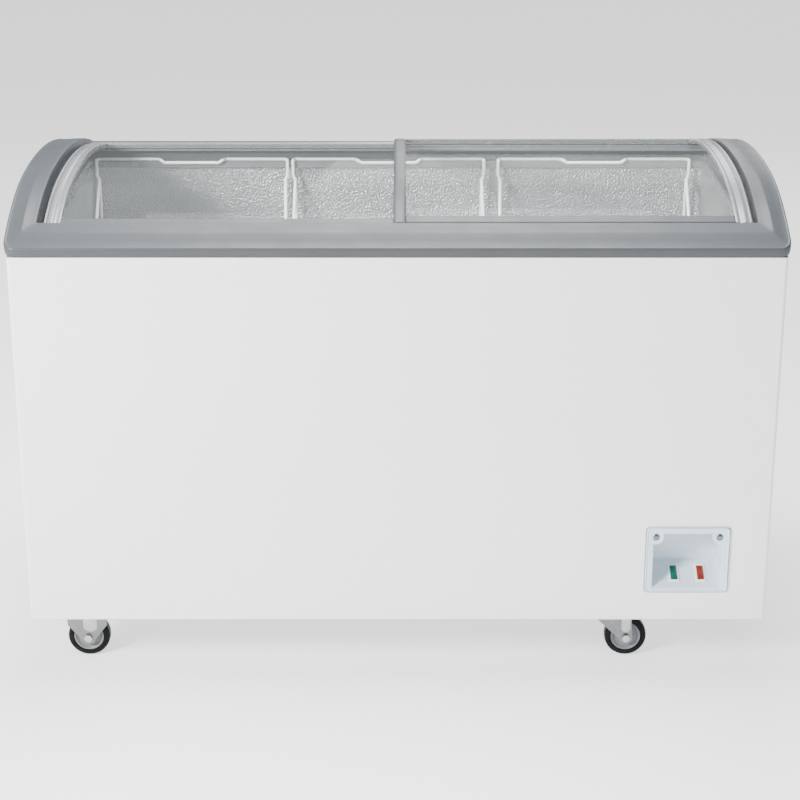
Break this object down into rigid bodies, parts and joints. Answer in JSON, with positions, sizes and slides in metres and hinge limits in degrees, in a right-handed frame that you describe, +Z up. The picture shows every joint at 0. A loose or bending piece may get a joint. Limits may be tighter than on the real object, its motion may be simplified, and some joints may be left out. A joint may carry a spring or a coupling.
{
  "type": "chest freezer",
  "caption": "Chest freezer with an arched top frame, curved sliding glass lids, hanging wire baskets, a lit control recess and castors.",
  "frame": {"origin": "on the floor, under the middle of the cabinet", "axes": "+Z up, +X to the customer's right along the long side, -Y towards the customer"},
  "size_m": [1.278, 0.69, 0.858],
  "materials": {
    "white_enamel": "smooth white baked enamel on steel sheet",
    "grey_plastic": "satin mid-grey moulded plastic",
    "pale_plastic": "satin light-grey extruded plastic",
    "embossed_aluminium": "stucco-embossed sheet, bright",
    "galvanised_steel": "galvanised sheet, dull",
    "bright_zinc": "bright zinc plate",
    "copper": "copper tube, drawn",
    "black_enamel": "black enamel",
    "black_rubber": "black rubber, slightly glossy",
    "grey_nylon": "moulded grey nylon",
    "white_wire": "white plastic-coated wire",
    "foam": "foamed-in-place polyurethane",
    "glass": "clear curved toughened glass",
    "panel_plastic": "pale blue-white moulded plastic",
    "lamp_white": "white moulded plastic",
    "green_lens": "translucent green lens",
    "red_lens": "translucent red lens"
  },
  "bodies": {
    "root": {"back_panel": "galvanised_steel", "basket_ledge": "pale_plastic", "bottom_tray": "galvanised_steel", "cable_bush": "black_rubber", "castor_front_left_axle": "bright_zinc", "castor_front_left_bracket": "bright_zinc", "castor_front_right_plate": "bright_zinc", "castor_rear_left_axle": "bright_zinc", "castor_rear_left_bracket": "bright_zinc", "castor_rear_right_plate": "bright_zinc", "compressor": "black_enamel", "compressor_plate": "galvanised_steel", "condenser_coil": "black_enamel", "drain_plug": "grey_nylon", "evaporator_tube": "copper", "filter_drier": "copper", "foam_insulation": "foam", "front_panel": "white_enamel", "front_track": "pale_plastic", "lamp_body_green": "lamp_white", "lamp_body_red": "lamp_white", "lamp_lens_green": "green_lens", "lamp_lens_red": "red_lens", "liner": "embossed_aluminium", "machine_room_wall": "galvanised_steel", "panel_bezel": "panel_plastic", "panel_screw_left": "bright_zinc", "panel_screw_right": "bright_zinc", "rear_cover": "grey_plastic", "rear_track": "pale_plastic", "side_grille": "grey_plastic", "side_panel_left": "white_enamel", "side_panel_right": "white_enamel", "thermostat": "lamp_white", "top_frame": "grey_plastic"},
    "lid_left": {"lid_left_glass": "glass", "lid_left_end_trim": "grey_plastic", "lid_left_centre_trim": "grey_plastic", "lid_left_front_slider": "grey_plastic", "lid_left_rear_slider": "grey_plastic"},
    "lid_right": {"lid_right_glass": "glass", "lid_right_end_trim": "grey_plastic", "lid_right_centre_trim": "grey_plastic", "lid_right_front_slider": "grey_plastic", "lid_right_rear_slider": "grey_plastic"},
    "basket_left": {"basket_left": "white_wire"},
    "basket_middle": {"basket_middle": "white_wire"},
    "basket_right": {"basket_right": "white_wire"},
    "wheel_front_left": {"castor_front_left_tyre": "black_rubber", "castor_front_left_hub": "grey_nylon"},
    "fork_front_right": {"castor_front_right_fork": "bright_zinc", "castor_front_right_axle": "bright_zinc"},
    "wheel_front_right": {"castor_front_right_tyre": "black_rubber", "castor_front_right_hub": "grey_nylon"},
    "wheel_rear_left": {"castor_rear_left_tyre": "black_rubber", "castor_rear_left_hub": "grey_nylon"},
    "fork_rear_right": {"castor_rear_right_fork": "bright_zinc", "castor_rear_right_axle": "bright_zinc"},
    "wheel_rear_right": {"castor_rear_right_tyre": "black_rubber", "castor_rear_right_hub": "grey_nylon"}
  },
  "joints": [
    {"name": "lid_left_slide", "type": "slide", "parent": "root", "child": "lid_left", "axis": [1, 0, 0], "range_m": [0, 0.565]},
    {"name": "lid_right_slide", "type": "slide", "parent": "root", "child": "lid_right", "axis": [1, 0, 0], "range_m": [-0.57, 0]},
    {"name": "basket_left_slide", "type": "slide", "parent": "root", "child": "basket_left", "axis": [1, 0, 0], "range_m": [-0.003, 0.002]},
    {"name": "basket_middle_slide", "type": "slide", "parent": "root", "child": "basket_middle", "axis": [1, 0, 0], "range_m": [-0.002, 0.01]},
    {"name": "basket_right_slide", "type": "slide", "parent": "root", "child": "basket_right", "axis": [1, 0, 0], "range_m": [-0.01, 0.018]},
    {"name": "castor_front_left_roll", "type": "hinge", "parent": "root", "child": "wheel_front_left", "pos_m": [-0.55, -0.2455, 0.0375], "axis": [0, 1, 0], "continuous": true},
    {"name": "castor_front_right_swivel", "type": "hinge", "parent": "root", "child": "fork_front_right", "pos_m": [0.376, -0.2455, 0.09], "axis": [0, 0, 1], "continuous": true},
    {"name": "castor_front_right_roll", "type": "hinge", "parent": "fork_front_right", "child": "wheel_front_right", "pos_m": [0.406, -0.2455, 0.0375], "axis": [0, 1, 0], "continuous": true},
    {"name": "castor_rear_left_roll", "type": "hinge", "parent": "root", "child": "wheel_rear_left", "pos_m": [-0.55, 0.2455, 0.0375], "axis": [0, 1, 0], "continuous": true},
    {"name": "castor_rear_right_swivel", "type": "hinge", "parent": "root", "child": "fork_rear_right", "pos_m": [0.376, 0.2455, 0.09], "axis": [0, 0, 1], "continuous": true},
    {"name": "castor_rear_right_roll", "type": "hinge", "parent": "fork_rear_right", "child": "wheel_rear_right", "pos_m": [0.406, 0.2455, 0.0375], "axis": [0, 1, 0], "continuous": true}
  ]
}
